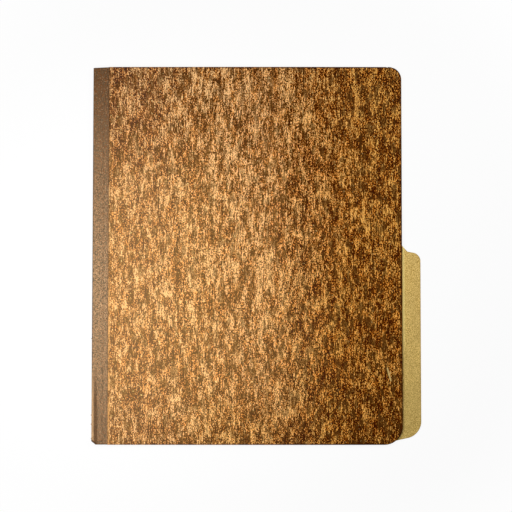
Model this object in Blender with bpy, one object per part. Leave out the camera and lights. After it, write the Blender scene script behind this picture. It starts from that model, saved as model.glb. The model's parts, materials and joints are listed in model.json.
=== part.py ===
"""A letter-size pressboard file folder with an expanding cloth gusset, lying closed and flat.

Two die-cut boards are joined at the fold by one strip of book cloth. The strip is glued inside
both boards and folds in half between them, so it shows as a band beside the front cover.
Between its creases it is modelled leaf by leaf, because each leaf turns on its own.

Metres, +Z up. The fold is at -X, the tab at +X and the head at +Y, with the front cover up.
The origin is the middle of the footprint, on the surface that the folder rests on.
"""

import math

import bmesh
import bpy
from mathutils import Matrix, Vector

# Boards: 25-point pressboard, both cut to one width and height
COVER_WIDTH = 0.2319
COVER_HEIGHT = 0.29845
BOARD_THICKNESS = 0.000635
CRUSHED_EDGE = 0.00008
HEAD_CORNER_RADIUS = 0.0100
FOOT_CORNER_RADIUS = 0.0145
FOLD_CORNER_RADIUS = 0.0004

# Tab: half the side long, at the foot of the rear cover's free edge
TAB_REACH = 0.0147
TAB_LENGTH = 0.1500
TAB_HEAD_RADIUS = 0.0060
TAB_FOOT_RADIUS = 0.0130
SHOULDER_RUN = 0.0044
SHOULDER_ANGLE = math.radians(49.0)
SHOULDER_RADIUS = 0.0022
SHOULDER_TOP_SLOPE = math.radians(9.5)
TAB_FOOT_LIFT = 0.0042
TAB_FOOT_SLOPE = math.radians(12.5)
TAB_FOOT_EASE = 0.0300

# Gusset: one strip of book cloth
CLOTH_THICKNESS = 0.0003
GUSSET_SHOWS = 0.0127
FLANGE_WIDTH = 0.0190
BEND_RADIUS = 0.0003
HEAD_END_FALL = 0.0006
FOOT_CLIP_WIDTH = 0.0034
FOOT_CLIP_HEIGHT = 0.0028

# Clearances
GLUE_GAP = 0.0003
CREASE_GAP = 0.0003

# Facets
ARC_STEP = math.radians(7.5)
BEND_STEPS = 12

# Where things stand across the folder
FOLD_X = -(GUSSET_SHOWS + COVER_WIDTH + TAB_REACH) / 2
SPINE_X = FOLD_X + GUSSET_SHOWS
FREE_X = SPINE_X + COVER_WIDTH
TAB_X = FREE_X + TAB_REACH
HEAD_Y = COVER_HEIGHT / 2
FOOT_Y = -COVER_HEIGHT / 2
BEND_X = FOLD_X + BEND_RADIUS + CLOTH_THICKNESS / 2

# Heights: a crease's axis lies in the middle of its cloth
REAR_LEAF_Z = BOARD_THICKNESS + GLUE_GAP + CLOTH_THICKNESS / 2
LEAF_SPACING = 2 * BEND_RADIUS + CLOTH_THICKNESS + CREASE_GAP
FRONT_LEAF_Z = REAR_LEAF_Z + LEAF_SPACING
FRONT_COVER_Z = FRONT_LEAF_Z + CLOTH_THICKNESS / 2 + GLUE_GAP

# Colours, linear
MOTTLED_BRONZE = (0.300, 0.128, 0.036)
KHAKI_CORE = (0.515, 0.345, 0.100)
BROWN_CLOTH = (0.235, 0.148, 0.078)


def clear_scene():
    """Remove every object of the startup scene."""
    for leftover in list(bpy.data.objects):
        bpy.data.objects.remove(leftover, do_unlink=True)


def finish(name, colour, roughness):
    """A plain matt material of one colour."""
    material = bpy.data.materials.new(name)
    material.use_nodes = True
    shader = material.node_tree.nodes["Principled BSDF"]
    shader.inputs["Base Color"].default_value = (*colour, 1.0)
    shader.inputs["Roughness"].default_value = roughness
    shader.inputs["Metallic"].default_value = 0.0
    return material


def rounded(corners):
    """The outline through the corners (x, y, radius), each rounded by an arc of its radius."""
    outline = []
    for index, (x, y, radius) in enumerate(corners):
        corner = Vector((x, y))
        if radius == 0.0:
            outline.append(corner)
            continue
        before = (Vector(corners[index - 1][:2]) - corner).normalized()
        after = (Vector(corners[(index + 1) % len(corners)][:2]) - corner).normalized()
        half_angle = before.angle(after) / 2
        centre = corner + (before + after).normalized() * radius / math.sin(half_angle)
        setback = radius / math.tan(half_angle)
        first = corner + before * setback - centre
        last = corner + after * setback - centre
        start = math.atan2(first.y, first.x)
        turn = (math.atan2(last.y, last.x) - start + math.pi) % math.tau - math.pi
        steps = math.ceil(abs(turn) / ARC_STEP)
        for step in range(steps + 1):
            angle = start + turn * step / steps
            outline.append(centre + Vector((math.cos(angle), math.sin(angle))) * radius)
    return outline


def sheet(name, points, faces, materials):
    """An object whose mesh is an open sheet, facing up or out of the fold."""
    mesh = bpy.data.meshes.new(name)
    build = bmesh.new()
    verts = [build.verts.new(point) for point in points]
    for face in faces:
        build.faces.new([verts[index] for index in face])
    build.to_mesh(mesh)
    build.free()
    for material in materials:
        mesh.materials.append(material)
    piece = bpy.data.objects.new(name, mesh)
    bpy.context.collection.objects.link(piece)
    return piece


def flat_sheet(name, outline, height, materials):
    """A flat sheet with this outline, its face up."""
    points = [(x, y, height) for x, y in outline]
    return sheet(name, points, [range(len(points))], materials)


def thicken(piece, thickness, offset):
    """Give a sheet its thickness: offset 1 builds it up from the sheet, 0 to both sides."""
    wall = piece.modifiers.new("Thickness", "SOLIDIFY")
    wall.thickness = thickness
    wall.offset = offset
    wall.use_even_offset = True
    return wall


def board(name, outline, bottom, facing_out, materials):
    """A die-cut pressboard cover: the first material outside, the second inside and on its edges."""
    top_finish, under_finish, edge_finish = (0, 1, 1) if facing_out > 0 else (1, 0, 1)
    piece = flat_sheet(name, outline, bottom, materials)
    for face in piece.data.polygons:
        face.material_index = top_finish
    wall = thicken(piece, BOARD_THICKNESS, 1.0)
    wall.material_offset = under_finish - top_finish
    wall.material_offset_rim = edge_finish - top_finish
    crushed = piece.modifiers.new("Crushed edge", "BEVEL")
    crushed.width = CRUSHED_EDGE
    crushed.segments = 1
    crushed.limit_method = "ANGLE"
    crushed.angle_limit = math.radians(60)
    return piece


def foot_end(x):
    """Where the folded cloth ends at the foot: square, then clipped at its corner on the fold."""
    into_clip = max(0.0, FOLD_X + FOOT_CLIP_WIDTH - x)
    return FOOT_Y + FOOT_CLIP_HEIGHT * into_clip / FOOT_CLIP_WIDTH


def head_end(x):
    """Where the cloth ends at the head: it falls away from the board's corner to the fold."""
    return HEAD_Y - HEAD_END_FALL * max(0.0, SPINE_X - x) / GUSSET_SHOWS


def front_cover(materials):
    corners = [
        (SPINE_X, FOOT_Y, FOLD_CORNER_RADIUS),
        (FREE_X, FOOT_Y, FOOT_CORNER_RADIUS),
        (FREE_X, HEAD_Y, HEAD_CORNER_RADIUS),
        (SPINE_X, HEAD_Y, FOLD_CORNER_RADIUS),
    ]
    return board("front_cover", rounded(corners), FRONT_COVER_Z, 1, materials)


def rear_cover(materials):
    """The rear board: its foot edge slopes up into the tab, and a shoulder ends the tab."""
    slope_start = FREE_X - TAB_FOOT_LIFT / math.tan(TAB_FOOT_SLOPE)
    tab_foot = FOOT_Y + TAB_FOOT_LIFT + TAB_REACH * math.tan(TAB_FOOT_SLOPE)
    tab_head = FOOT_Y + TAB_LENGTH
    shoulder_top = tab_head + (TAB_REACH - SHOULDER_RUN) * math.tan(SHOULDER_TOP_SLOPE)
    shoulder_root = shoulder_top + SHOULDER_RUN * math.tan(SHOULDER_ANGLE)
    corners = [
        (SPINE_X, FOOT_Y, FOLD_CORNER_RADIUS),
        (slope_start, FOOT_Y, TAB_FOOT_EASE),
        (TAB_X, tab_foot, TAB_FOOT_RADIUS),
        (TAB_X, tab_head, TAB_HEAD_RADIUS),
        (FREE_X + SHOULDER_RUN, shoulder_top, SHOULDER_RADIUS),
        (FREE_X, shoulder_root, SHOULDER_RADIUS),
        (FREE_X, HEAD_Y, HEAD_CORNER_RADIUS),
        (SPINE_X, HEAD_Y, FOLD_CORNER_RADIUS),
    ]
    return board("rear_cover", rounded(corners), 0.0, -1, materials)


def cloth_flange(name, height, materials):
    """The margin of the strip that is glued inside a board, up to the crease at its edge."""
    outline = [
        (SPINE_X + CREASE_GAP, FOOT_Y),
        (SPINE_X + FLANGE_WIDTH, FOOT_Y),
        (SPINE_X + FLANGE_WIDTH, HEAD_Y),
        (SPINE_X + CREASE_GAP, HEAD_Y),
    ]
    piece = flat_sheet(name, outline, height, materials)
    thicken(piece, CLOTH_THICKNESS, 0.0)
    return piece


def cloth_leaf(name, height, materials):
    """Half of the free cloth, from the crease at the board's edge to the fold."""
    at_board = SPINE_X - CREASE_GAP
    at_fold = BEND_X + CREASE_GAP
    clip_start = FOLD_X + FOOT_CLIP_WIDTH
    outline = [
        (at_fold, foot_end(at_fold)),
        (clip_start, foot_end(clip_start)),
        (at_board, foot_end(at_board)),
        (at_board, head_end(at_board)),
        (at_fold, head_end(at_fold)),
    ]
    piece = flat_sheet(name, outline, height, materials)
    thicken(piece, CLOTH_THICKNESS, 0.0)
    return piece


def cloth_bend(name, materials):
    """The bend of the folded strip: half a tube of cloth between the two leaves."""
    middle = (REAR_LEAF_Z + FRONT_LEAF_Z) / 2
    points = []
    for step in range(BEND_STEPS + 1):
        angle = math.pi / 2 + math.pi * step / BEND_STEPS
        x = BEND_X + BEND_RADIUS * math.cos(angle)
        z = middle + BEND_RADIUS * math.sin(angle)
        points += [(x, foot_end(x), z), (x, head_end(x), z)]
    faces = [(2 * step, 2 * step + 1, 2 * step + 3, 2 * step + 2) for step in range(BEND_STEPS)]
    piece = sheet(name, points, faces, materials)
    thicken(piece, CLOTH_THICKNESS, 0.0)
    piece.data.shade_smooth()
    return piece


def crease(name, x, z, parent):
    """An empty on a crease's axis, which carries all that turns about it."""
    pivot = bpy.data.objects.new(name, None)
    pivot.empty_display_type = "SINGLE_ARROW"
    pivot.empty_display_size = FLANGE_WIDTH
    bpy.context.collection.objects.link(pivot)
    hang(pivot, parent, Vector((x, 0.0, z)))
    return pivot


def hang(thing, parent, place):
    """Put a thing's origin at a place in the folder, and make it ride on its parent."""
    thing.parent = parent
    bpy.context.view_layer.update()
    thing.location = place - (parent.matrix_world.translation if parent else Vector())


def carry(piece, pivot):
    """Make a piece turn about a crease: its origin goes on the axis, and its shape stays."""
    bpy.context.view_layer.update()
    place = pivot.matrix_world.translation.copy()
    piece.data.transform(Matrix.Translation(-place))
    hang(piece, pivot, place)


def build_folder():
    bronze = finish("mottled bronze pressboard", MOTTLED_BRONZE, 0.45)
    khaki = finish("khaki pressboard core", KHAKI_CORE, 0.80)
    cloth = finish("brown book cloth", BROWN_CLOTH, 0.85)

    rear = rear_cover([bronze, khaki])
    rear_flange = cloth_flange("gusset_rear_flange", REAR_LEAF_Z, [cloth])
    rear_flange.parent = rear

    rear_crease = crease("rear_crease", SPINE_X, REAR_LEAF_Z, rear)
    carry(cloth_leaf("gusset_rear_leaf", REAR_LEAF_Z, [cloth]), rear_crease)

    lower_bend = crease("lower_bend", BEND_X, REAR_LEAF_Z, rear_crease)
    carry(cloth_bend("gusset_bend", [cloth]), lower_bend)

    upper_bend = crease("upper_bend", BEND_X, FRONT_LEAF_Z, lower_bend)
    carry(cloth_leaf("gusset_front_leaf", FRONT_LEAF_Z, [cloth]), upper_bend)

    front_crease = crease("front_crease", SPINE_X, FRONT_LEAF_Z, upper_bend)
    carry(cloth_flange("gusset_front_flange", FRONT_LEAF_Z, [cloth]), front_crease)
    carry(front_cover([bronze, khaki]), front_crease)


clear_scene()
build_folder()
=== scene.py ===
# %% [markdown]
# A pressboard file folder lies closed on a white table, seen from above. It is made of two die-cut
# boards, and one strip of book cloth that is glued inside both and folds in half between them. The
# places of all pieces come from the CAD frame, which is loaded first and never changed.

# %% Load the frame
import json
import math
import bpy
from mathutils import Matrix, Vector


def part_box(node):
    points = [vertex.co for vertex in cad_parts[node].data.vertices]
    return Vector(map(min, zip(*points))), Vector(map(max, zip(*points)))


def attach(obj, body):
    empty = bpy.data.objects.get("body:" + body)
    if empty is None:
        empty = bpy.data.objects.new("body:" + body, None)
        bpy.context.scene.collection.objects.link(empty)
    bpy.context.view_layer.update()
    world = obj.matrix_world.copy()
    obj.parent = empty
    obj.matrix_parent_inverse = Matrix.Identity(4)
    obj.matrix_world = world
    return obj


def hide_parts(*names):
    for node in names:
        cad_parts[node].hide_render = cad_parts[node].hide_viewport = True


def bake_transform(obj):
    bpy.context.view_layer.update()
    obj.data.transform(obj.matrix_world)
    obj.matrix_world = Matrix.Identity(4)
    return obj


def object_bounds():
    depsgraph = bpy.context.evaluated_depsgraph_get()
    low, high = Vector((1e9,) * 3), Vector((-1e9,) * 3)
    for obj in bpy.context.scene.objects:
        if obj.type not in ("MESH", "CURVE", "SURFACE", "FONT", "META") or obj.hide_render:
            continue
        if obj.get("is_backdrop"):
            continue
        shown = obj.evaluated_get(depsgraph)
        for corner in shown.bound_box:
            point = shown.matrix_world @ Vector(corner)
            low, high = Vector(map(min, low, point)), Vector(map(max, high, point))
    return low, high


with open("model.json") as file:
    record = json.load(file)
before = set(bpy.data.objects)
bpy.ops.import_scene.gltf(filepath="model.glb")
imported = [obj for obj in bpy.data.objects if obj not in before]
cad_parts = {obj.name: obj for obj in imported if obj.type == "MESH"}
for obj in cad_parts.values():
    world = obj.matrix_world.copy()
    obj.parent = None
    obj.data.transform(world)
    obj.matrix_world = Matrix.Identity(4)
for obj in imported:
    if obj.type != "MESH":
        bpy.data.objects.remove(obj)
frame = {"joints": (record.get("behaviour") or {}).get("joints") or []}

from types import SimpleNamespace

import bmesh
import bpy
from mathutils import Vector, noise
from mathutils.geometry import intersect_point_line

MM = 0.001


def in_mm(lengths, digits=2):
    """These lengths in millimetres, for printing."""
    return [round(length / MM, digits) for length in lengths]


cad_box = [list(corner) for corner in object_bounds()]
print("CAD box in mm:", [in_mm(corner) for corner in cad_box])

# %% [markdown]
# Every later step needs the same few lines: where the boards end, where the cloth folds, and where
# its creases lie, which are the axes of the four hinges. They are read from the frame once.

# %% Read the folder's main lines
front_low, front_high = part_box("front_cover")
rear_low, rear_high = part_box("rear_cover")
fold_low, fold_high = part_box("gusset_bend")
flange_low, flange_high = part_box("gusset_rear_flange")

SPINE_X = front_low.x
FREE_X = front_high.x
TAB_X = rear_high.x
FOLD_X = fold_low.x
FOOT_Y = front_low.y
HEAD_Y = front_high.y
BOARD = rear_high.z - rear_low.z
CLOTH = flange_high.z - flange_low.z
FLANGE_X = flange_high.x
HINGE = {joint["name"]: Vector(joint["pos_m"]) for joint in frame["joints"]}
print("board and cloth are", in_mm((BOARD, CLOTH), 3), "mm thick")
print("hinges:", {name: in_mm(place, 3) for name, place in HINGE.items()})

# %% [markdown]
# The photograph looks straight down on the folder, from a little below its middle. The camera's
# place and its slight tilt were worked out from the corners of the boards, whose sizes are known.
# Any lens gives the same picture of a flat folder, so a calm 60 mm lens is used.

# %% Set the camera over the folder
CAMERA_PLACE = (0.00326, -0.01993, 0.67612)
CAMERA_TILT = (1.611, 0.312, 0.015)

camera_data = bpy.data.cameras.new("overhead_camera")
camera_data.lens = 60.0
camera_data.clip_start = 10.0 * MM
camera = bpy.data.objects.new("overhead_camera", camera_data)
camera.location = CAMERA_PLACE
camera.rotation_euler = tuple(math.radians(angle) for angle in CAMERA_TILT)
bpy.context.scene.collection.objects.link(camera)
bpy.context.scene.camera = camera
bpy.context.scene.view_settings.view_transform = "Standard"
print("camera", round(camera.location.z, 3), "m above the table")

# %% [markdown]
# The class Wire wraps the output of a node, and each operator on it adds the Math node of the same
# name, so 1 - mask works as it reads. A smooth step, which most masks are made of, is a method too.

# %% Write shader maths as expressions
def operator(operation, swapped=False):
    """A method that adds the Math node of this name, its two values in order or swapped."""
    def method(self, other):
        return self.maths(operation, *((other, self) if swapped else (self, other)))
    return method


class Wire:
    """The output of a node, on which Python's operators add Math nodes."""

    def __init__(self, finish, socket):
        self.finish = finish
        self.socket = socket

    def maths(self, operation, *values):
        sockets = dict(enumerate(values))
        return self.finish.node("ShaderNodeMath", {"operation": operation}, sockets)

    def __abs__(self):
        return self.maths("ABSOLUTE", self)

    def sine(self):
        return self.maths("SINE", self)

    def axis(self, name):
        """One coordinate of a place: X, Y or Z."""
        return self.finish.node("ShaderNodeSeparateXYZ", {}, {"Vector": self}, output=name)

    def step(self, low, high, start=0.0, end=1.0):
        """A smooth step from start, where the value is low, to end, where it is high."""
        return self.finish.node(
            "ShaderNodeMapRange",
            {"interpolation_type": "SMOOTHSTEP"},
            {"Value": self, "From Min": low, "From Max": high, "To Min": start, "To Max": end},
        )

    __add__, __radd__ = operator("ADD"), operator("ADD", swapped=True)
    __sub__, __rsub__ = operator("SUBTRACT"), operator("SUBTRACT", swapped=True)
    __mul__, __rmul__ = operator("MULTIPLY"), operator("MULTIPLY", swapped=True)
    __truediv__, __rtruediv__ = operator("DIVIDE"), operator("DIVIDE", swapped=True)
    __pow__, __gt__ = operator("POWER"), operator("GREATER_THAN")
    smaller, larger = operator("MINIMUM"), operator("MAXIMUM")


print("a wire knows + - * / ** > and abs")

# %% [markdown]
# The class Finish holds a material. Its method node adds any node: its settings are made first, a
# ramp's stops among them, then its sockets get a value or a wire.

# %% Hold a material and add nodes to it
class Finish:
    """A material, and one method that adds any node to it."""

    def __init__(self, name):
        self.material = bpy.data.materials.new(name)
        self.material.use_nodes = True
        self.tree = self.material.node_tree
        self.shader = self.tree.nodes["Principled BSDF"]

    def node(self, kind, settings=None, sockets=None, output=0):
        made = self.tree.nodes.new(kind)
        for key, value in (settings or {}).items():
            if key == "stops":
                self.set_stops(made.color_ramp, value)
            else:
                setattr(made, key, value)
        self.fill(made, sockets or {})
        return Wire(self, made.outputs[output])

    def fill(self, made, sockets):
        for key, value in sockets.items():
            socket = made.inputs[key]
            if isinstance(value, Wire):
                self.tree.links.new(value.socket, socket)
            else:
                socket.default_value = value

    def set_stops(self, ramp, stops):
        while len(ramp.elements) > 1:
            ramp.elements.remove(ramp.elements[-1])
        ramp.elements[0].position = stops[0][0]
        ramp.elements[0].color = (*stops[0][1], 1.0)
        for place, colour in stops[1:]:
            ramp.elements.new(place).color = (*colour, 1.0)


print("any node can be added to a finish")

# %% [markdown]
# A few nodes come back in every finish, such as a noise stretched to the size of a fibre, and a mix
# of two colours.

# %% Name the nodes that come back
def stretched_noise(place, size, detail, roughness):
    """Noise whose grains are about size = (x, y, z) millimetres long."""
    node = place.finish.node
    lengths = [length * MM for length in size]
    scaled = node("ShaderNodeVectorMath", {"operation": "DIVIDE"}, {0: place, 1: lengths})
    sockets = {"Vector": scaled, "Scale": 1.0, "Detail": detail, "Roughness": roughness}
    return node("ShaderNodeTexNoise", {}, sockets)


def mix(factor, first, second, blend="MIX"):
    """The first colour at 0, the second at 1."""
    wire = factor if isinstance(factor, Wire) else first
    colours = [value if isinstance(value, Wire) else (*value, 1.0) for value in (first, second)]
    return wire.finish.node(
        "ShaderNodeMix",
        {"data_type": "RGBA", "blend_type": blend},
        {0: factor, 6: colours[0], 7: colours[1]},
        output=2,
    )


def attribute(finish, name):
    """A number that the mesh carries at its points or faces."""
    return finish.node("ShaderNodeAttribute", {"attribute_name": name}, output="Fac")


def bump(height, distance, strength):
    """A surface raised by height times distance."""
    sockets = {"Height": height, "Distance": distance, "Strength": strength}
    return height.finish.node("ShaderNodeBump", {}, sockets, output="Normal")


print("nodes with a name: noise, mix, attribute and bump")

# %% [markdown]
# Blender's noise flattens out near the whole numbers of its own grid, so a flat face at such a
# height would lose its grain, and a sagging one would get bands. Each board is therefore read at one
# made-up height, away from those numbers. A second helper draws a soft line, for scuffs and for
# lines of painted shade.

# %% Read the boards at a height of their own, and draw lines
BETWEEN_BOARDS = rear_high.z + 0.35 * MM
LINE_CORE = 0.35


def layered_place(finish, rear_layer, front_layer):
    """The object's place, with one height for all of the rear board and one for the front."""
    place = finish.node("ShaderNodeTexCoord", output="Object")
    x, y, z = (place.axis(axis) for axis in "XYZ")
    on_front = z > BETWEEN_BOARDS
    layer = on_front * (front_layer - rear_layer) + rear_layer
    return finish.node("ShaderNodeCombineXYZ", {}, {"X": x, "Y": y, "Z": layer}), x, y


def line(place, start, end, reach):
    """1 on the line from start to end, given as x and y, and 0 from reach away from it."""
    x, y = place.axis("X") - start[0], place.axis("Y") - start[1]
    run = (end[0] - start[0], end[1] - start[1])
    share = (x * run[0] + y * run[1]) / (run[0] ** 2 + run[1] ** 2)
    share = share.larger(0.0).smaller(1.0)
    off_x, off_y = x - share * run[0], y - share * run[1]
    return ((off_x * off_x + off_y * off_y) ** 0.5).step(reach, LINE_CORE * reach)


print("above", in_mm([BETWEEN_BOARDS]), "mm a point is on the front board")

# %% [markdown]
# The mottled face is pressed from dark brown and copper fibres, which lie along the fold. The copper
# flakes are about 1 mm wide and 2 to 6 mm long, and they gather into paler and darker patches of
# about a centimetre. Each is a noise of its own size: flakes, streaks, long runs, patches and broad
# fields. Three more vary the hue, the dull pools and the pale flecks. A noise is given by its size
# in millimetres across, along and through the board, its detail and its roughness.

# %% Size the noises of the mottled face
MOTTLED_LAYERS = (1.30 * MM, 3.37 * MM)
FLAKES = ((0.43, 1.20, 0.8), 1.0, 0.6)
STREAKS = ((0.64, 3.4, 1.0), 1.0, 0.5)
RUNS = ((1.00, 12.0, 1.6), 0.0, 0.5)
PATCHES = ((3.8, 10.0, 7.0), 2.0, 0.5)
FIELDS = ((8.0, 20.0, 12.0), 0.0, 0.5)
HUES = ((4.0, 9.0, 6.0), 1.0, 0.5)
POOLS = ((3.0, 8.0, 5.0), 1.0, 0.5)
FLECKS = ((0.9, 1.5, 1.0), 0.0, 0.5)
print("flakes and fields are", FLAKES[0], "and", FIELDS[0], "mm in size")

# %% [markdown]
# The noises are added up to one number, the mottle: low for brown, high for copper. The contrast is
# weaker at the fold and at the free side. The free side, most of all towards the foot, and the foot
# itself are pushed darker as painted shade, where less lamp light falls. Smooth steps give these
# zones, which the colour, the wear and the sheen read again.

# %% Sum the noises into one mottle
FLAKE_WEIGHT = 8.6
STREAK_WEIGHT = 3.6
RUN_WEIGHT = 1.9
PATCH_WEIGHT = 3.1
MOTTLE_MIDDLE = 0.41
FREE_SIDE_SHADE_DROP = 0.12
FOOT_SHADE_DROP = 0.11
FREE_SIDE_CALM = 0.28


def mottled_face(finish):
    """The mottle, with the places, noises and zones that other layers of the face read."""
    place, x, y = layered_place(finish, *MOTTLED_LAYERS)
    flakes, streaks, runs, patches, fields = (
        stretched_noise(place, *recipe)
        for recipe in (FLAKES, STREAKS, RUNS, PATCHES, FIELDS)
    )
    coarse = (
        (streaks - 0.5) * STREAK_WEIGHT
        + (runs - 0.5) * RUN_WEIGHT
        + (patches - 0.5) * PATCH_WEIGHT
        + (fields - 0.5)
    )
    beyond_fold = x.step(-115 * MM, -45 * MM, 0.88, 1.14)
    contrast = beyond_fold - x.step(5 * MM, 75 * MM) * FREE_SIDE_CALM
    # Painted shade: darker towards the free side and the foot, where less lamp light falls.
    free_side_shade = x.step(-20 * MM, 100 * MM) * y.step(60 * MM, -110 * MM, 0.95, 1.40)
    foot_shade = y.step(-90 * MM, -140 * MM)
    mottle = ((flakes - 0.5) * FLAKE_WEIGHT + coarse) * contrast + MOTTLE_MIDDLE
    mottle = mottle - free_side_shade * FREE_SIDE_SHADE_DROP - foot_shade * FOOT_SHADE_DROP
    return SimpleNamespace(
        place=place, x=x, y=y, streaks=streaks, patches=patches, coarse=coarse,
        free_side_shade=free_side_shade, foot_shade=foot_shade, mottle=mottle,
    )


print("flakes weigh", FLAKE_WEIGHT, "and streaks", STREAK_WEIGHT)

# %% [markdown]
# The mottle goes through a colour ramp of brown, copper and tan, whose last stops are the brightest
# fibres. Two tints of it, a coppery and a tan one, take turns from patch to patch. Beside the fold,
# under the lamp's glow, a duller and bluer brown is painted in: painted shade that tempers the glow,
# with a whiter painted tint of its sheen. Towards the free side and the foot the painted shade also
# turns the colour olive.

# %% Colour the fibres
FIBRE_STOPS = (
    (0.32, (0.044, 0.009, 0.000)),
    (0.42, (0.070, 0.018, 0.000)),
    (0.50, (0.132, 0.028, 0.000)),
    (0.56, (0.240, 0.050, 0.000)),
    (0.635, (0.460, 0.148, 0.008)),
    (0.725, (0.860, 0.390, 0.115)),
    (1.00, (0.985, 0.535, 0.215)),
)
RAMP_SCALE = 0.45
RAMP_START = 0.275
COPPER_TINT = (1.04, 0.88, 0.60)
TAN_TINT = (0.98, 1.06, 1.15)
SHADE_OLIVE_TINT = (0.96, 0.87, 0.46)
FOLD_SIDE_SHADE_BROWN = (0.110, 0.050, 0.085)
HUE_WEIGHT = 3.0
FOLD_SIDE_SHADE = 0.10
FOOT_OLIVE_SHADE = 0.55


def fibre_colour(finish, face):
    """The colour of the fibres, with its change from patch to patch and from side to side."""
    ramp_place = face.mottle * RAMP_SCALE + RAMP_START
    ramp = finish.node("ShaderNodeValToRGB", {"stops": FIBRE_STOPS}, {"Fac": ramp_place})
    copper = mix(1.0, ramp, COPPER_TINT, "MULTIPLY")
    tan = mix(1.0, ramp, TAN_TINT, "MULTIPLY")
    hue = (stretched_noise(face.place, *HUES) - 0.5) * HUE_WEIGHT + face.coarse
    colour = mix(hue.step(-0.7, 0.7), copper, tan)
    # Painted shade beside the fold, with a whiter painted tint of the sheen.
    shade_beside_fold = face.x.step(-35 * MM, -100 * MM)
    colour = mix(shade_beside_fold * FOLD_SIDE_SHADE, colour, FOLD_SIDE_SHADE_BROWN)
    # Painted shade: olive towards the foot and the free side.
    foot_olive_shade = face.foot_shade * face.x.step(-70 * MM, -20 * MM) * FOOT_OLIVE_SHADE
    olive = mix(1.0, colour, SHADE_OLIVE_TINT, "MULTIPLY")
    return mix(face.free_side_shade.larger(foot_olive_shade), colour, olive)


print("fibre colours:", len(FIBRE_STOPS), "stops")

# %% [markdown]
# Two things lie over the fibres: dull pools, where dark pulp covers the copper, and a few pale
# flecks. Both are the tails of a noise, cut off by a step. Where painted shade darkens the free
# side, the pools are denser and the flecks are fainter.

# %% Lay pools and flecks over the fibres
POOL_BROWN = (0.074, 0.025, 0.003)
FLECK_TAN = (0.950, 0.700, 0.280)
POOL_RAGGED = 0.25


def cover_fibres(face, colour):
    """The colour with its pools and flecks."""
    pools = stretched_noise(face.place, *POOLS) + (face.streaks - 0.5) * POOL_RAGGED
    # The pools thicken and the flecks fade under the free side's painted shade.
    pooled = pools.step(0.445, 0.385) * (face.free_side_shade * 0.15 + 0.60)
    colour = mix(pooled, colour, POOL_BROWN)
    flecks = stretched_noise(face.place, *FLECKS)
    flecked = flecks.step(0.78, 0.86) * (0.9 - face.free_side_shade * 0.5)
    return mix(flecked, colour, FLECK_TAN)


print("the pools follow the streaks by", POOL_RAGGED)

# %% [markdown]
# The wear and the painted shade follow the board's outline, so the mesh carries the distance to it
# as the attribute rim. The rim is darker, more so on the free side: soil, and painted shade of its
# crushed edge. Beside the cloth, the board's edge is bright copper towards the foot: rubbed wear,
# and a painted highlight where the edge faces the lamp. A scuff of two strokes marks the lower right
# corner.

# %% Wear the mottled face
RIM_SOIL_AND_SHADE = (0.030, 0.004, 0.000)
RUBBED_AND_LIT_COPPER = (0.640, 0.300, 0.095)
SCUFF_TAN = (0.620, 0.430, 0.150)
SCUFF_STRENGTH = 0.9
SCUFFS = (
    ((103.0 * MM, -89.5 * MM), (105.6 * MM, -98.9 * MM), 0.9 * MM),
    ((104.0 * MM, -94.5 * MM), (105.6 * MM, -92.5 * MM), 0.7 * MM),
)


def wear_face(finish, face, colour):
    """The colour with soil and painted shade at the rim, wear and painted highlight at the spine, a
    scuff.
    """
    rim = attribute(finish, "rim")
    free_side = face.x.step(SPINE_X + 20 * MM, FREE_X - 20 * MM)
    # Painted shade of the crushed edge, with soil, darkens the rim.
    soil_and_shade = rim.step(1.5 * MM, 0.3 * MM, 0.0, 0.85) * (free_side * 0.5 + 0.5)
    colour = mix(soil_and_shade, colour, RIM_SOIL_AND_SHADE)
    # Rubbed wear and a painted highlight where the spine edge faces the lamp.
    at_spine = face.x.step(SPINE_X + 1.9 * MM, SPINE_X + 1.2 * MM)
    in_patches = face.patches + (face.streaks - 0.5) * 0.4
    rubbed_and_lit = at_spine * face.y.step(20 * MM, -60 * MM)
    rubbed_and_lit = rubbed_and_lit * in_patches.step(0.42, 0.50, 0.05, 0.80)
    rubbed_and_lit = rubbed_and_lit * face.mottle.step(-0.4, 0.6, 0.3, 1.0)
    colour = mix(rubbed_and_lit, colour, RUBBED_AND_LIT_COPPER)
    for start, end, reach in SCUFFS:
        scuffed = line(face.place, start, end, reach) * SCUFF_STRENGTH
        colour = mix(scuffed, colour, SCUFF_TAN)
    return colour


print("the scuff has", len(SCUFFS), "strokes")

# %% [markdown]
# The face is pressed smooth and a little glossy, with a sheen as warm as the copper fibres. The
# free side is the smoother one, and the fibres raise the surface by a fiftieth of a millimetre.

# %% Make the mottled pressboard
WARM_SHEEN = (0.66, 0.410, 0.146, 1.0)
FIBRE_HEIGHT = 0.02 * MM
POLISHED_SIDE = 0.12


def mottled_pressboard():
    finish = Finish("mottled_pressboard")
    face = mottled_face(finish)
    colour = fibre_colour(finish, face)
    colour = cover_fibres(face, colour)
    colour = wear_face(finish, face, colour)
    polished = face.x.step(-75 * MM, 75 * MM) * POLISHED_SIDE
    finish.fill(finish.shader, {
        "Base Color": colour,
        "Roughness": face.mottle.step(0.2, 0.8, 0.36, 0.39) - polished,
        "Specular IOR Level": 1.0,
        "Specular Tint": WARM_SHEEN,
        "Normal": bump(face.mottle, FIBRE_HEIGHT, 0.6),
    })
    return finish.material


MOTTLED = mottled_pressboard()
print("mottled pressboard:", len(MOTTLED.node_tree.nodes), "nodes")

# %% [markdown]
# Inside and on its cut edges the board is plain khaki pulp: matt, with a fine even grain, a few
# fibres and faint clouds. The tab shows this face, soiled a little along its rim. Painted light and
# shade make it lighter towards the head and darker towards the foot, as the lamps fall. In the upper
# half, the inner face under the front cover is paler, most of all along the cover's free edge.

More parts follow.
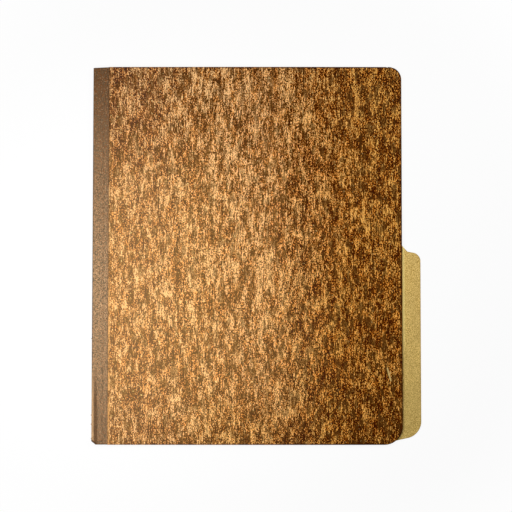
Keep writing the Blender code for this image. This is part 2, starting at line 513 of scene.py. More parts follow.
# %% Make the khaki core
KHAKI_LAYERS = (0.64 * MM, 1.64 * MM)
PULP = ((0.36, 0.40, 0.5), 1.0, 0.6)
CLOUDS = ((22.0, 30.0, 22.0), 2.0, 0.5)
FIBRES = ((0.5, 3.0, 0.5), 1.0, 0.5)
PULP_DARK = (0.350, 0.202, 0.022)
PULP_PALE = (0.990, 0.705, 0.238)
FOOT_SHADE_TINT = (0.88, 0.885, 0.82)
HEAD_LIGHT_TINT = (1.00, 0.98, 0.95)
FIBRE_BROWN = (0.330, 0.205, 0.050)
CLOUD_KHAKI = (0.440, 0.310, 0.095)
RIM_KHAKI = (0.400, 0.240, 0.040)
PALE_STRIP_KHAKI = (1.000, 0.820, 0.300)
PULP_HEIGHT = 0.03 * MM


def khaki_pressboard():
    finish = Finish("khaki_pressboard")
    place, x, y = layered_place(finish, *KHAKI_LAYERS)
    pulp, clouds, fibres = (stretched_noise(place, *recipe) for recipe in (PULP, CLOUDS, FIBRES))
    rim = attribute(finish, "rim")
    colour = mix(pulp.step(0.445, 0.555), PULP_DARK, PULP_PALE)
    # Painted light and shade: lighter towards the head, darker towards the foot.
    lit_towards_head = mix(y.step(-130 * MM, 5 * MM), FOOT_SHADE_TINT, HEAD_LIGHT_TINT)
    colour = mix(1.0, colour, lit_towards_head, "MULTIPLY")
    colour = mix(fibres.step(0.66, 0.78) * 0.35, colour, FIBRE_BROWN)
    colour = mix(clouds.step(0.35, 0.70) * 0.25, colour, CLOUD_KHAKI)
    colour = mix(rim.step(1.3 * MM, 0.3 * MM) * 0.45, colour, RIM_KHAKI)
    # Paler under the front cover in the upper half, most of all in a strip along its free edge.
    under_cover = x.step(FREE_X + 2.7 * MM, FREE_X + 1.1 * MM)
    pale_strip = under_cover * y.step(-95 * MM, -50 * MM)
    pale_strip = pale_strip * x.step(FREE_X - 12 * MM, FREE_X - 2 * MM, 0.30, 0.65)
    colour = mix(pale_strip, colour, PALE_STRIP_KHAKI)
    finish.fill(finish.shader, {
        "Base Color": colour,
        "Roughness": 0.78,
        "Specular IOR Level": 0.35,
        "Normal": bump(pulp, PULP_HEIGHT, 0.6),
    })
    return finish.material


KHAKI = khaki_pressboard()
print("khaki pressboard:", len(KHAKI.node_tree.nodes), "nodes")

# %% [markdown]
# The gusset is brown book cloth: a fine weave filled with colour, almost smooth, with pale flecks
# where the threads show through. Its pattern reads the strip's own UV map, on which u runs across
# the strip from the fold and v along it, both in metres. Dark lines of painted shade lie along the
# strip's cut ends, along its edge beside the board, down the upper fold, in a faint crease, and in a
# crease beside the fold towards the foot.

# %% Place the lines of painted shade on the cloth
HEAD_FALL = 0.6 * MM
CLIP_WIDTH = 3.4 * MM
CLIP_HEIGHT = 2.8 * MM
BOARD_OUT = SPINE_X - FOLD_X
CREASE_OUT = BOARD_OUT - 3.7 * MM
# Lines of painted shade: the cut ends, the edge beside the board, the upper fold and the creases.
CLOTH_SHADE_LINES = (
    ((0.0, FOOT_Y + CLIP_HEIGHT), (CLIP_WIDTH, FOOT_Y), 1.9 * MM, 1.0),
    ((CLIP_WIDTH, FOOT_Y), (BOARD_OUT, FOOT_Y), 1.2 * MM, 0.8),
    ((0.0, HEAD_Y - HEAD_FALL), (BOARD_OUT, HEAD_Y), 1.0 * MM, 0.8),
    ((BOARD_OUT, FOOT_Y), (BOARD_OUT, HEAD_Y), 1.1 * MM, 0.22),
    ((0.0, HEAD_Y), (0.0, -80 * MM), 1.1 * MM, 0.8),
    ((CREASE_OUT, HEAD_Y), (CREASE_OUT, FOOT_Y), 0.8 * MM, 0.10),
)
FOOT_CREASE_SHADE = ((2.9 * MM, -90 * MM), (3.5 * MM, -147 * MM), 2.2 * MM)
FOOT_CREASE_SHADE_STRENGTH = 0.6


def cloth_shade_lines(spot, towards_foot):
    """How dark each line of painted shade is at a spot, given as its distance from the fold and
    height.
    """
    marks = [line(spot, *mark) * strength for *mark, strength in CLOTH_SHADE_LINES]
    shade_beside_fold = line(spot, *FOOT_CREASE_SHADE) * towards_foot * FOOT_CREASE_SHADE_STRENGTH
    return marks + [shade_beside_fold]


print("marks on the cloth:", len(CLOTH_SHADE_LINES) + 1)

# %% [markdown]
# Towards the foot the fold is paler, on its outside only, for which the mesh carries the attribute
# outside. The cloth shines where its grain stands up, so the grain drives the roughness as well as
# the colour. A UV map is flat, so its grain is read at a made-up height too.

# %% Make the book cloth
THREAD_PITCH = 0.42 * MM
NOISE_LAYER = 0.38 * MM
CLOTH_GRAIN = ((0.58, 0.66, 1.0), 1.0, 0.6)
CLOTH_FLECKS = ((0.9, 1.4, 1.0), 0.0, 0.5)
CLOTH_DARK = (0.000, 0.000, 0.000)
CLOTH_BROWN = (0.156, 0.039, 0.002)
THREAD_TAN = (0.300, 0.160, 0.080)
THREAD_GAP = (0.020, 0.006, 0.002)
PALE_FOLD_TAN = (0.400, 0.230, 0.110)
SHADE_LINE_BROWN = (0.036, 0.008, 0.000)
SHADE_LINE_ROUGHNESS = 0.9
CLOTH_SHEEN = (0.94, 0.660, 0.372, 1.0)
GRAIN_HEIGHT = 0.11 * MM


def book_cloth():
    finish = Finish("brown_book_cloth")
    place = finish.node("ShaderNodeUVMap", {"uv_map": "strip"}, output="UV")
    across, along = place.axis("X"), place.axis("Y")
    turns = math.tau / THREAD_PITCH
    weave = (across * turns).sine() * (along * turns).sine()
    layer = finish.node("ShaderNodeCombineXYZ", {}, {"X": across, "Y": along, "Z": NOISE_LAYER})
    grain = stretched_noise(layer, *CLOTH_GRAIN)
    flecks = stretched_noise(place, *CLOTH_FLECKS)
    colour = mix(grain.step(0.43, 0.58), CLOTH_DARK, CLOTH_BROWN)
    colour = mix(flecks.step(0.62, 0.76) * 0.8, colour, THREAD_TAN)
    colour = mix((weave + 1.0) * 0.06, colour, THREAD_GAP)

    out = abs(across)
    towards_foot = along.step(-80 * MM, -120 * MM)
    at_fold = out.step(2.5 * MM, 1.9 * MM)
    pale_at_fold = at_fold * towards_foot * attribute(finish, "outside")
    colour = mix(pale_at_fold * 0.8, colour, PALE_FOLD_TAN)
    roughness = grain.step(0.41, 0.59, 0.54, 0.16)
    spot = finish.node("ShaderNodeCombineXYZ", {}, {"X": out, "Y": along})
    # Painted shade: each line darkens the cloth, and its roughness keeps the sheen off it.
    for mark in cloth_shade_lines(spot, towards_foot):
        colour = mix(mark, colour, SHADE_LINE_BROWN)
        roughness = roughness + mark * (SHADE_LINE_ROUGHNESS - roughness)
    finish.fill(finish.shader, {
        "Base Color": colour,
        "Roughness": roughness,
        "IOR": 1.62,
        "Specular IOR Level": 1.0,
        "Specular Tint": CLOTH_SHEEN,
        "Normal": bump(weave * 0.2 + grain, GRAIN_HEIGHT, 0.9),
    })
    return finish.material


CLOTH_FINISH = book_cloth()
print("book cloth:", len(CLOTH_FINISH.node_tree.nodes), "nodes")

# %% [markdown]
# The boards and the cloth are modelled as by hand. Each tool works on what is selected, so a few
# helpers select an object alone, pick parts of it by their place, cut it and apply a modifier.

# %% Select, cut and apply
SAME_PLACE = 0.05 * MM
CUT_THRESHOLD = 1e-7


def to_mode(name):
    """Go to object mode or edit mode."""
    bpy.ops.object.mode_set(mode=name)


def select_all():
    """In edit mode, select all that there is."""
    bpy.ops.mesh.select_all(action="SELECT")


def only(thing):
    """Leave this object alone selected and active."""
    if bpy.context.mode != "OBJECT":
        to_mode("OBJECT")
    bpy.ops.object.select_all(action="DESELECT")
    thing.select_set(True)
    bpy.context.view_layer.objects.active = thing


def pick(thing, kind, test):
    """In edit mode, select the vertices, edges or faces whose middle passes the test."""
    bpy.ops.mesh.select_mode(type=kind)
    bpy.ops.mesh.select_all(action="DESELECT")
    shape = bmesh.from_edit_mesh(thing.data)
    parts = {"VERT": shape.verts, "EDGE": shape.edges, "FACE": shape.faces}[kind]
    for part in parts:
        points = [part.co] if kind == "VERT" else [vert.co for vert in part.verts]
        if test(sum(points, Vector()) / len(points)):
            part.select_set(True)
    shape.select_flush_mode()
    bmesh.update_edit_mesh(thing.data)


def near(x, y):
    """A test for what lies at x, y, whatever its height."""
    return lambda at: abs(at.x - x) < SAME_PLACE and abs(at.y - y) < SAME_PLACE


def cut(at, normal, **clear):
    """In edit mode, cut what is selected by a plane, and clear a side of it if asked."""
    bpy.ops.mesh.bisect(plane_co=at, plane_no=normal, threshold=CUT_THRESHOLD, **clear)


def cut_across(places, normal):
    """In edit mode, cut all that there is by planes at these distances along a normal."""
    direction = Vector(normal)
    for place in places:
        select_all()
        cut(direction * place, direction)


def modify(thing, kind, **settings):
    """Add a modifier, set it and apply it."""
    only(thing)
    modifier = thing.modifiers.new(kind.title(), kind)
    for key, value in settings.items():
        setattr(modifier, key, value)
    bpy.ops.object.modifier_apply(modifier=modifier.name)


print("two points are the same within", in_mm([SAME_PLACE]), "mm")

# %% [markdown]
# A board's blank is a plane of the cover's size. Its corners are rounded by a bevel of the vertex.
# Two insets follow the outline, close to it, so that its crushed rim, with its wear and painted
# shade, has vertices of its own, and a grid of cuts lets the sheet bend.

# %% Draw and round a board's blank
CORNER_STEPS = 14
RIM_INSETS = (0.5 * MM, 1.2 * MM)
GRID = 8.0 * MM


def blank(name, height, left=SPINE_X, right=FREE_X):
    """A flat sheet of the covers' length, from left to right, in edit mode."""
    middle = ((left + right) / 2, (FOOT_Y + HEAD_Y) / 2, height)
    bpy.ops.object.select_all(action="DESELECT")
    bpy.ops.mesh.primitive_plane_add(size=1.0, location=middle)
    sheet = bpy.context.object
    sheet.name = sheet.data.name = name
    sheet.scale = (right - left, HEAD_Y - FOOT_Y, 1.0)
    bpy.ops.object.transform_apply(location=True, rotation=True, scale=True)
    to_mode("EDIT")
    return sheet


def round_corner(board, x, y, radius):
    """Round the corner at x, y by an arc of this radius."""
    pick(board, "VERT", near(x, y))
    shape = bmesh.from_edit_mesh(board.data)
    corner = next(vert for vert in shape.verts if vert.select)
    ways = [(edge.other_vert(corner).co - corner.co).normalized() for edge in corner.link_edges]
    setback = radius / math.tan(ways[0].angle(ways[1]) / 2)
    bpy.ops.mesh.bevel(
        offset=setback, segments=CORNER_STEPS, affect="VERTICES", profile=0.5,
        clamp_overlap=False)


def ring_and_grid(board):
    """Follow the outline with two insets, then cut the sheet into a grid."""
    for inset in RIM_INSETS:
        bpy.ops.mesh.select_mode(type="FACE")
        select_all()
        shape = bmesh.from_edit_mesh(board.data)
        largest = max(shape.faces, key=lambda face: face.calc_area())
        for face in shape.faces:
            face.select_set(face is largest)
        bmesh.update_edit_mesh(board.data)
        bpy.ops.mesh.inset(thickness=inset, use_even_offset=True)
    for low, high, normal in ((SPINE_X, FREE_X, (1, 0, 0)), (FOOT_Y, HEAD_Y, (0, 1, 0))):
        count = math.ceil((high - low) / GRID)
        cut_across([low + GRID * step for step in range(1, count)], normal)


print("a blank is cut every", in_mm([GRID]), "mm")

# %% [markdown]
# While a board is still an open sheet, its outline is the edges that belong to one face only. Once
# it has its thickness, each vertex gets its distance to them as an attribute, for the finish.

# %% Measure the distance to the outline
RIM_REACH = 3.0 * MM


def outline_of(board):
    """The board's outline as pairs of points, read while it is still an open sheet."""
    mesh = board.data
    sides = {}
    for face in mesh.polygons:
        for key in face.edge_keys:
            sides[key] = sides.get(key, 0) + 1
    return [
        tuple(mesh.vertices[index].co.xy.to_3d() for index in key)
        for key, count in sides.items() if count == 1
    ]


def mark_rim(board, outline):
    """Write each vertex's distance to the outline, up to a reach, as the attribute rim."""
    rim = board.data.attributes.new("rim", "FLOAT", "POINT")
    for vertex, value in zip(board.data.vertices, rim.data):
        at = vertex.co.xy.to_3d()
        nearest = RIM_REACH
        for start, end in outline:
            foot, share = intersect_point_line(at, start, end)
            foot = start if share < 0 else end if share > 1 else foot
            nearest = min(nearest, (at - foot).length)
        value.value = nearest


print("the rim is known up to", in_mm([RIM_REACH]), "mm from the edge")

# %% [markdown]
# The sheet is bent by a slow wave of a twentieth of a millimetre, which dies out towards the spine,
# where the cloth holds it. Solidify then gives it its 0.6 mm, and a small bevel crushes its edges,
# as a die does. The outer face and the outer bevel take the mottled finish, the rest is bare khaki.

# %% Bend, thicken and finish a board
WAVE = 0.05 * MM
WAVE_SIZE = (85.0 * MM, 110.0 * MM)
WAVE_START = 25.0 * MM
WAVE_RUN = 60.0 * MM
SAG_START = 60.0 * MM
CRUSHED_EDGE = 0.11 * MM
OUTER_SLOPE = 0.3


def bend_board(board, seed, sag=0.0):
    """Lift the sheet by a slow wave that dies out towards the spine, and let its edge sag."""
    for vertex in board.data.vertices:
        x, y = vertex.co.x, vertex.co.y
        free = min(1.0, max(0.0, (x - SPINE_X - WAVE_START) / WAVE_RUN))
        lift = noise.noise(Vector((x / WAVE_SIZE[0], y / WAVE_SIZE[1], seed)))
        bent = max(0.0, (x - SPINE_X - SAG_START) / (FREE_X - SPINE_X - SAG_START))
        vertex.co.z += WAVE * (1.0 + lift) * free - sag * bent ** 2


def thicken_board(board, outer_side):
    """Give a board its thickness, its crushed edges and its two finishes."""
    modify(board, "SOLIDIFY", thickness=BOARD, offset=1.0)
    modify(board, "BEVEL", width=CRUSHED_EDGE, segments=2, limit_method="ANGLE",
           angle_limit=math.radians(50), harden_normals=False)
    board.data.materials.append(MOTTLED)
    board.data.materials.append(KHAKI)
    for face in board.data.polygons:
        face.material_index = 0 if face.normal.z * outer_side > OUTER_SLOPE else 1
    only(board)
    bpy.ops.object.shade_smooth_by_angle(angle=math.radians(40))
    mottled_faces = sum(face.material_index == 0 for face in board.data.polygons)
    print(board.name, len(board.data.polygons), "faces,", mottled_faces, "of them mottled")


print("a board waves by", in_mm([WAVE]), "mm")

# %% [markdown]
# The front cover's corners are square at the fold and rounded at its free edge, the one at the foot
# more than the one at the head. Two small chips in the head edge get a few cuts of their own. The
# folded cloth holds the board up at the fold, and from there it sags towards the rear board.

# %% Make the front board
HEAD_CORNER = 10.0 * MM
FOOT_CORNER = 14.5 * MM
CHIPS = ((103.7 * MM, 0.45 * MM), (107.7 * MM, 0.30 * MM))
CHIP_HALF_WIDTH = 0.7 * MM
CHIP_ZONE = 3.0 * MM
CHIP_CUT_WIDTH = 9.0 * MM
CHIP_CUT_DEPTH = 10.0 * MM
SAG = 1.4 * MM
FRONT_SEED = 3.1

front_board = blank("front_board", front_low.z)
round_corner(front_board, FREE_X, HEAD_Y, HEAD_CORNER)
round_corner(front_board, FREE_X, FOOT_Y, FOOT_CORNER)
ring_and_grid(front_board)
chip_cuts = [x + side * CHIP_HALF_WIDTH for x, depth in CHIPS for side in (-1, 0, 1)]
for cut_x in chip_cuts:
    pick(front_board, "FACE", lambda at: (
        at.y > HEAD_Y - CHIP_CUT_DEPTH and abs(at.x - cut_x) < CHIP_CUT_WIDTH))
    cut((cut_x, 0, 0), (1, 0, 0))
to_mode("OBJECT")
front_outline = outline_of(front_board)
for vertex in front_board.data.vertices:
    for chip_x, depth in CHIPS:
        if abs(vertex.co.x - chip_x) < SAME_PLACE and vertex.co.y > HEAD_Y - CHIP_ZONE:
            vertex.co.y -= depth
bend_board(front_board, FRONT_SEED, SAG)
thicken_board(front_board, 1)
mark_rim(front_board, front_outline)
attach(front_board, "front")
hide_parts("front_cover")

# %% [markdown]
# The rear cover is cut from the same board, with a tab along the lower half of its free edge. The
# tab is drawn out of the blank: the free edge is cut where the tab's shoulder starts, its lower part
# is extruded, and the corners of what came out are moved to where the die cuts them. The shoulder
# leaves the edge steeply and runs out at a low slope, and a long slope leads into the tab's foot.

# %% Work out the tab's corners
TAB_LENGTH = 150.0 * MM
TAB_FOOT_LIFT = 4.2 * MM
TAB_FOOT_SLOPE = math.tan(math.radians(12.5))
SHOULDER_RUN = 4.4 * MM
SHOULDER_SLOPE = math.tan(math.radians(49.0))
SHOULDER_TOP_SLOPE = math.tan(math.radians(9.5))

tab_reach = TAB_X - FREE_X
slope_start = FREE_X - TAB_FOOT_LIFT / TAB_FOOT_SLOPE
tab_foot = FOOT_Y + TAB_FOOT_LIFT + tab_reach * TAB_FOOT_SLOPE
tab_head = FOOT_Y + TAB_LENGTH
shoulder_x = FREE_X + SHOULDER_RUN
shoulder_top = tab_head + (tab_reach - SHOULDER_RUN) * SHOULDER_TOP_SLOPE
shoulder_root = shoulder_top + SHOULDER_RUN * SHOULDER_SLOPE
foot_at_shoulder = FOOT_Y + TAB_FOOT_LIFT + SHOULDER_RUN * TAB_FOOT_SLOPE
print("tab from", in_mm([tab_foot]), "to", in_mm([tab_head]), "mm, reach", in_mm([tab_reach]))

# %% Draw the tab out of the rear blank
rear_board = blank("rear_board", rear_low.z)
cut_across([shoulder_root], (0, 1, 0))
cut_across([slope_start], (1, 0, 0))
pick(rear_board, "EDGE", lambda at: at.x > FREE_X - MM and at.y < shoulder_root - MM)
bpy.ops.mesh.extrude_region_move(TRANSFORM_OT_translate={"value": (tab_reach, 0.0, 0.0)})
cut_across([shoulder_x], (1, 0, 0))
for x, start_y, end_y in (
    (shoulder_x, shoulder_root, shoulder_top),
    (TAB_X, shoulder_root, tab_head),
    (TAB_X, FOOT_Y, tab_foot),
    (shoulder_x, FOOT_Y, foot_at_shoulder),
    (FREE_X, FOOT_Y, FOOT_Y + TAB_FOOT_LIFT),
):
    pick(rear_board, "VERT", near(x, start_y))
    bpy.ops.transform.translate(value=(0.0, end_y - start_y, 0.0))
bpy.ops.mesh.select_mode(type="FACE")
select_all()
bpy.ops.mesh.dissolve_faces(use_verts=False)
print("rear blank:", len(bmesh.from_edit_mesh(rear_board.data).verts), "corners before rounding")

# %% [markdown]
# Each corner of the rear board has a radius of its own. The board also peeps out a little from under
# the front board's head edge, so the vertices near that edge are moved out along a flat arch.

# %% Round the rear board and finish it
SLOPE_RADIUS = 30.0 * MM
TAB_FOOT_RADIUS = 13.0 * MM
TAB_HEAD_RADIUS = 6.8 * MM
SHOULDER_RADIUS = 2.2 * MM
PEEK = 0.40 * MM
PEEK_START = -92.0 * MM
PEEK_END = 16.0 * MM
PEEK_ZONE = 4.0 * MM
PEEK_STEEPNESS = 2.2
REAR_SEED = 8.4

for x, y, radius in (
    (slope_start, FOOT_Y, SLOPE_RADIUS),
    (TAB_X, tab_foot, TAB_FOOT_RADIUS),
    (TAB_X, tab_head, TAB_HEAD_RADIUS),
    (shoulder_x, shoulder_top, SHOULDER_RADIUS),
    (FREE_X, shoulder_root, SHOULDER_RADIUS),
    (FREE_X, HEAD_Y, HEAD_CORNER),
):
    round_corner(rear_board, x, y, radius)
ring_and_grid(rear_board)
to_mode("OBJECT")
for vertex in rear_board.data.vertices:
    share = (vertex.co.x - PEEK_START) / (PEEK_END - PEEK_START)
    if 0 < share < 1 and vertex.co.y > HEAD_Y - PEEK_ZONE:
        vertex.co.y += PEEK * min(1.0, PEEK_STEEPNESS * math.sin(math.pi * share))
rear_outline = outline_of(rear_board)
bend_board(rear_board, REAR_SEED)
thicken_board(rear_board, -1)
mark_rim(rear_board, rear_outline)
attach(rear_board, "rear")
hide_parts("rear_cover")

# %% [markdown]
# The gusset is one strip of cloth. Seen from the foot it runs from its glued margin inside the rear
# board, past the crease at the board's edge, out to the fold, round it, and back the same way to its
# margin inside the front board. It is drawn as that path: a plane for the first margin, its edge
# extruded from point to point, spun half a turn for the fold, and extruded again. Where it passes
# the boards' edges it steps from the leaf's height to the board's face. The margin's stops say how
# far from the spine a point of the path is, and how much glued down.

# %% Lay out the strip's path
GLUE = 0.02 * MM
CREASE_HALF_WIDTH = 0.35 * MM
MARGIN_STOPS = (
    (FLANGE_X - SPINE_X, 1.0), (6.0 * MM, 1.0), (2.0 * MM, 1.0), (1.2 * MM, 1.0),
    (0.8 * MM, 0.95), (0.4 * MM, 0.75), (0.0, 0.50), (-0.4 * MM, 0.25), (-0.8 * MM, 0.05),
    (-1.2 * MM, 0.0), (-2.0 * MM, 0.0),
)
LEAF_STOPS = (-122.6 * MM, -124.2 * MM, -125.8 * MM, -127.2 * MM)

rear_leaf_z = HINGE["gusset_expand"].z
front_leaf_z = HINGE["front_crease"].z
rear_glue_z = rear_high.z + GLUE + CLOTH / 2
front_glue_z = front_low.z - GLUE - CLOTH / 2
turn_radius = (front_leaf_z - rear_leaf_z) / 2
turn_middle = (rear_leaf_z + front_leaf_z) / 2
turn_x = FOLD_X + CLOTH / 2 + turn_radius
crease_x = FOLD_X + CREASE_OUT


def half_path(leaf_z, glue_z):
    """The path of half the strip, from its margin to where it starts to turn."""
    margin = [(SPINE_X + out, leaf_z + (glue_z - leaf_z) * glued) for out, glued in MARGIN_STOPS]
    crease = (crease_x + CREASE_HALF_WIDTH, crease_x, crease_x - CREASE_HALF_WIDTH)
    return margin + [(x, leaf_z) for x in (*crease, *LEAF_STOPS, turn_x)]


rear_path = half_path(rear_leaf_z, rear_glue_z)
front_path = half_path(front_leaf_z, front_glue_z)
half_length = sum(math.dist(a, b) for a, b in zip(rear_path, rear_path[1:]))
strip_width = 2 * half_length + math.pi * turn_radius
print("the strip is", in_mm([strip_width], 1), "mm wide when it lies flat")

# %% Extrude and spin the strip
TURN_STEPS = 16


def extrude_to(path):
    """In edit mode, draw the selected edge on through the points of a path."""
    for (x0, z0), (x1, z1) in zip(path, path[1:]):
        bpy.ops.mesh.extrude_region_move(TRANSFORM_OT_translate={"value": (x1 - x0, 0.0, z1 - z0)})


(first_x, first_z), (second_x, second_z) = rear_path[:2]
strip = blank("gusset_strip", first_z, second_x, first_x)
pick(strip, "EDGE", lambda at: abs(at.x - second_x) < 0.01 * MM)
extrude_to(rear_path[1:])
bpy.ops.mesh.spin(
    steps=TURN_STEPS, angle=-math.pi, center=(turn_x, 0.0, turn_middle), axis=(0.0, 1.0, 0.0))
extrude_to(front_path[::-1])
select_all()
bpy.ops.mesh.remove_doubles(threshold=0.001 * MM)
to_mode("OBJECT")
print("the bare strip has", len(strip.data.vertices), "vertices")

# %% [markdown]
# The strip is cut to length while it is folded, so both its halves show the same two slanted cuts: a
# clipped corner at the foot of the fold, and a head that falls away a little towards it. Cuts along
# the strip then let it ripple, and narrow ones let it fray: at four spots the outermost part of the
# fold stands out by half a millimetre.

# %% Trim and fray the strip
RIPPLE_STEP = 5.0 * MM
FIRST_RIPPLE = 4.0 * MM
FRAYS = (
    (-66.1 * MM, 0.5 * MM),
    (-126.3 * MM, 0.6 * MM),
    (-133.4 * MM, 0.7 * MM),
    (-144.6 * MM, 0.6 * MM),
)
FRAY_HALF_WIDTH = 0.55 * MM
FRAY_START = 0.6

only(strip)
to_mode("EDIT")
select_all()
cut((SPINE_X, HEAD_Y, 0.0), (-HEAD_FALL, SPINE_X - FOLD_X, 0.0), clear_outer=True)
select_all()
cut((FOLD_X, FOOT_Y + CLIP_HEIGHT, 0.0), (CLIP_HEIGHT, CLIP_WIDTH, 0.0), clear_inner=True)
ripple_count = math.ceil((HEAD_Y - FOOT_Y - FIRST_RIPPLE) / RIPPLE_STEP)
ripple_cuts = [FOOT_Y + FIRST_RIPPLE + RIPPLE_STEP * count for count in range(ripple_count)]
fray_cuts = [y + side * FRAY_HALF_WIDTH for y, length in FRAYS for side in (-1, 0, 1)]
cut_across(ripple_cuts + fray_cuts, (0, 1, 0))
to_mode("OBJECT")
for vertex in strip.data.vertices:
    for fray_y, length in FRAYS:
        share = ((turn_x - vertex.co.x) / turn_radius - FRAY_START) / (1 - FRAY_START)
        if abs(vertex.co.y - fray_y) < SAME_PLACE and share > 0:
            vertex.co.x -= length * share
print("the strip is cut", ripple_count, "times to ripple and", len(fray_cuts), "times to fray")

# %% [markdown]
# The weave follows the flat strip, so each vertex gets its place on it as UV: across it the length
# of the path from the middle of the fold, and along it the vertex's own Y.

# %% Unroll the strip's UV map
def from_fold(x, z):
    """How far a point of the path is from the middle of the fold, less than 0 on the rear half."""
    if x <= turn_x:
        return turn_radius * math.atan2(z - turn_middle, turn_x - x)
    side = 1 if z > turn_middle else -1
    points = (front_path if side > 0 else rear_path)[::-1]
    total = turn_radius * math.pi / 2
    for (x0, z0), (x1, z1) in zip(points, points[1:]):
        if x <= x1 + 1e-9:
            share = (x - x0) / (x1 - x0)
            return side * (total + share * math.dist((x0, z0), (x1, z1)))
        total += math.dist((x0, z0), (x1, z1))
    return side * total


unrolled = strip.data.uv_layers.new(name="strip")
for loop, value in zip(strip.data.loops, unrolled.data):
    at = strip.data.vertices[loop.vertex_index].co
    value.uv = (from_fold(at.x, at.z), at.y)
widths = [value.uv[0] for value in unrolled.data]
print("UV across the strip from", in_mm([min(widths)]), "to", in_mm([max(widths)]), "mm")

# %% [markdown]
# The upper leaf swells by a tenth of a millimetre, ripples a little, and is pressed in along a faint
# crease 3.7 mm from the board. The lower leaf lies mirrored under it. The fold itself leans out a
# little, more at the foot than at the head.

# %% Let the cloth swell and ripple
SWELL = 0.10 * MM
RIPPLE = 0.02 * MM
RIPPLE_SIZE = (6.0 * MM, 16.0 * MM)
CREASE_DEPTH = 0.07 * MM
DRIFT_AT_FOOT = 0.32 * MM
DRIFT_AT_HEAD = 0.12 * MM
RELEASE_X = SPINE_X - 1.2 * MM


def out_share(x):
    """0 where the cloth comes free of the boards, 1 where it starts to turn."""
    return min(1.0, (RELEASE_X - x) / (RELEASE_X - turn_x))


for vertex in strip.data.vertices:
    x, y, z = vertex.co
    if x >= RELEASE_X:
        continue
    towards_head = (y - FOOT_Y) / (HEAD_Y - FOOT_Y)
    drift = DRIFT_AT_FOOT + (DRIFT_AT_HEAD - DRIFT_AT_FOOT) * towards_head
    vertex.co.x -= drift * out_share(x)
    if x <= turn_x:
        continue
    side = 1 if z > turn_middle else -1
    ripple = noise.noise(Vector((x / RIPPLE_SIZE[0], y / RIPPLE_SIZE[1], side * 5.0)))
    lift = (SWELL + RIPPLE * ripple) * max(0.0, math.sin(math.pi * out_share(x)))
    if abs(x - crease_x) < 0.1 * MM:
        lift -= CREASE_DEPTH
    vertex.co.z += side * lift
print("leaves swell by up to", in_mm([SWELL + RIPPLE]), "mm")

# %% [markdown]
# A fabric piece can bend across one hinge only, and the strip crosses four. The strip crosses four
# hinges, so it is parted into four stretches where it doesn't bend: a little past each crease, and
# in the middle of the fold. Each stretch is a copy of the strip without the rest, thickened on its
# own, and the cuts meet exactly. For the paler cloth at the fold, each face is also marked as
# outside or inside, by whether it looks away from the fold's middle.

# %% Part the strip into its four stretches
PAST_CREASE = 2.0 * MM


def stretch(name, keeps):
    """A copy of the strip that keeps the faces whose middle passes the test, thickened."""
    only(strip)
    piece = bpy.data.objects.new(name, strip.data.copy())
    piece.data.name = name
    bpy.context.scene.collection.objects.link(piece)
    only(piece)
    to_mode("EDIT")
    pick(piece, "FACE", lambda at: not keeps(at))
    bpy.ops.mesh.delete(type="FACE")
    to_mode("OBJECT")
    modify(piece, "SOLIDIFY", thickness=CLOTH, offset=0.0)
    outside = piece.data.attributes.new("outside", "FLOAT", "FACE")
    for face, value in zip(piece.data.polygons, outside.data):
        middle = Vector((max(face.center.x, turn_x), face.center.y, turn_middle))
        value.value = float(face.normal.dot(face.center - middle) > 0)
    piece.data.materials.append(CLOTH_FINISH)
    only(piece)
    bpy.ops.object.shade_smooth_by_angle(angle=math.radians(50))
    return piece


part_x = SPINE_X - PAST_CREASE
rear_margin = stretch("gusset_rear_margin", lambda at: at.z < turn_middle and at.x > part_x)
rear_half = stretch("gusset_rear_half", lambda at: at.z < turn_middle and at.x < part_x)
front_half = stretch("gusset_front_half", lambda at: at.z > turn_middle and at.x < part_x)
front_margin = stretch("gusset_front_margin", lambda at: at.z > turn_middle and at.x > part_x)
bpy.data.objects.remove(strip, do_unlink=True)
stretches = (rear_margin, rear_half, front_half, front_margin)
for piece in stretches:
    print(piece.name, len(piece.data.vertices), "vertices")

# %% [markdown]
# Each stretch's place is baked into its mesh, and the CAD pieces of the gusset are hidden.

# %% Bake the stretches in place and hide the CAD gusset
turn_peak = Vector((turn_x - turn_radius, 0.0, turn_middle))

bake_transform(rear_margin)
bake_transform(rear_half)
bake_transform(front_half)
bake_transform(front_margin)
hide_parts("gusset_rear_flange")
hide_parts("gusset_rear_leaf", "gusset_bend")
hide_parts("gusset_front_leaf")
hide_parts("gusset_front_flange")
print("the fold turns about x =", in_mm([turn_x]), "mm with a radius of", in_mm([turn_radius]))

# %% [markdown]
# The strip is cloth. Each stretch's length is the covers' side, and its width is measured along the
# path, from one cut to the next.

half_width = abs(from_fold(part_x, 0.0))
margin_width = abs(from_fold(FLANGE_X, 0.0)) - half_width
print("margins", in_mm([margin_width]), "mm wide, halves", in_mm([half_width]), "mm wide")

# %% [markdown]
# Two soft lamps light the folder. The main one hangs to the left of it, near enough that its
# reflection in the satin board shows as the broad glow on the left of the cover. The other stands
# off to the right, beyond the head. Its reflection misses the cover, so it brightens the matt tab
# and leaves the board beside it dark. The room gives a weak fill, and the camera sees it white.

# %% Light the folder
FILL = 0.02


def soft_lamp(name, place, size, power):
    """A square lamp that looks at the middle of the folder."""
    data = bpy.data.lights.new(name, "AREA")
    data.shape = "SQUARE"
    data.size = size
    data.energy = power
    lamp = bpy.data.objects.new(name, data)
    lamp.location = place
    lamp.rotation_euler = (-Vector(place)).to_track_quat("-Z", "Y").to_euler()
    lamp.visible_camera = False
    bpy.context.scene.collection.objects.link(lamp)
    print(name, power, "W,", size, "m wide")


soft_lamp("main_lamp", place=(-0.165, -0.040, 0.300), size=0.315, power=1.60)
soft_lamp("side_lamp", place=(0.50, 0.34, 0.35), size=0.25, power=2.10)

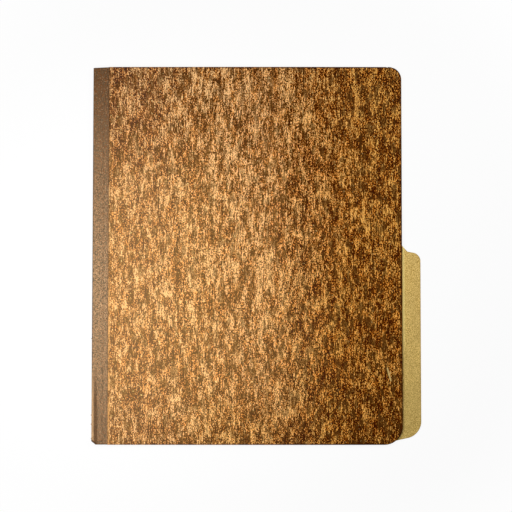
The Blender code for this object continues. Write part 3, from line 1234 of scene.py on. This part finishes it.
world = bpy.data.worlds.new("pale_room")
world.use_nodes = True
bpy.context.scene.world = world
tree = world.node_tree
fill = tree.nodes["Background"]
fill.inputs["Color"].default_value = (1.0, 1.0, 1.0, 1.0)
light_path = tree.nodes.new("ShaderNodeLightPath")
brightness = tree.nodes.new("ShaderNodeMapRange")
brightness.inputs["To Min"].default_value = FILL
tree.links.new(light_path.outputs["Is Camera Ray"], brightness.inputs["Value"])
tree.links.new(brightness.outputs["Result"], fill.inputs["Strength"])

# %% [markdown]
# The floor is white paper. For the camera it is mostly a plain white glow, and wholly so away from
# the folder, so that it looks white without more light on the folder. What is left of it is lit as
# usual and keeps the folder's shadow.

# %% Lay the white floor
FLOOR_GLOW = 0.90
SHADOW_REACH = (0.20, 0.34)
FLOOR_WHITE = (0.85, 0.85, 0.85, 1.0)
FLOOR_SIZE = 8.0
FLOOR_DROP = 0.2 * MM

floor_finish = Finish("white_floor")
floor_finish.fill(floor_finish.shader, {"Base Color": FLOOR_WHITE, "Roughness": 0.9})
seen = floor_finish.node("ShaderNodeLightPath", output="Is Camera Ray")
glow = floor_finish.node("ShaderNodeEmission", {}, {"Color": (1.0, 1.0, 1.0, 1.0), "Strength": 1.0})
spot = floor_finish.node("ShaderNodeTexCoord", output="Object")
away = floor_finish.node("ShaderNodeVectorMath", {"operation": "LENGTH"}, {0: spot}, output="Value")
glowing = seen * away.step(*SHADOW_REACH, FLOOR_GLOW, 1.0)
lit = Wire(floor_finish, floor_finish.shader.outputs["BSDF"])
surface = floor_finish.node("ShaderNodeMixShader", {}, {0: glowing, 1: lit, 2: glow})
floor_finish.fill(floor_finish.tree.nodes["Material Output"], {"Surface": surface})

bpy.ops.object.select_all(action="DESELECT")
bpy.ops.mesh.primitive_plane_add(size=FLOOR_SIZE, location=(0.0, 0.0, -FLOOR_DROP))
floor = bpy.context.object
floor.name = "floor"
bpy.ops.object.transform_apply(location=True, rotation=True, scale=True)
floor.data.materials.append(floor_finish.material)
floor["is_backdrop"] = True
print("floor", FLOOR_SIZE, "m wide")

# %% Print the dressed sizes
dressed_box = [list(corner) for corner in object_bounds()]
print("dressed box in mm:", [in_mm(corner) for corner in dressed_box])
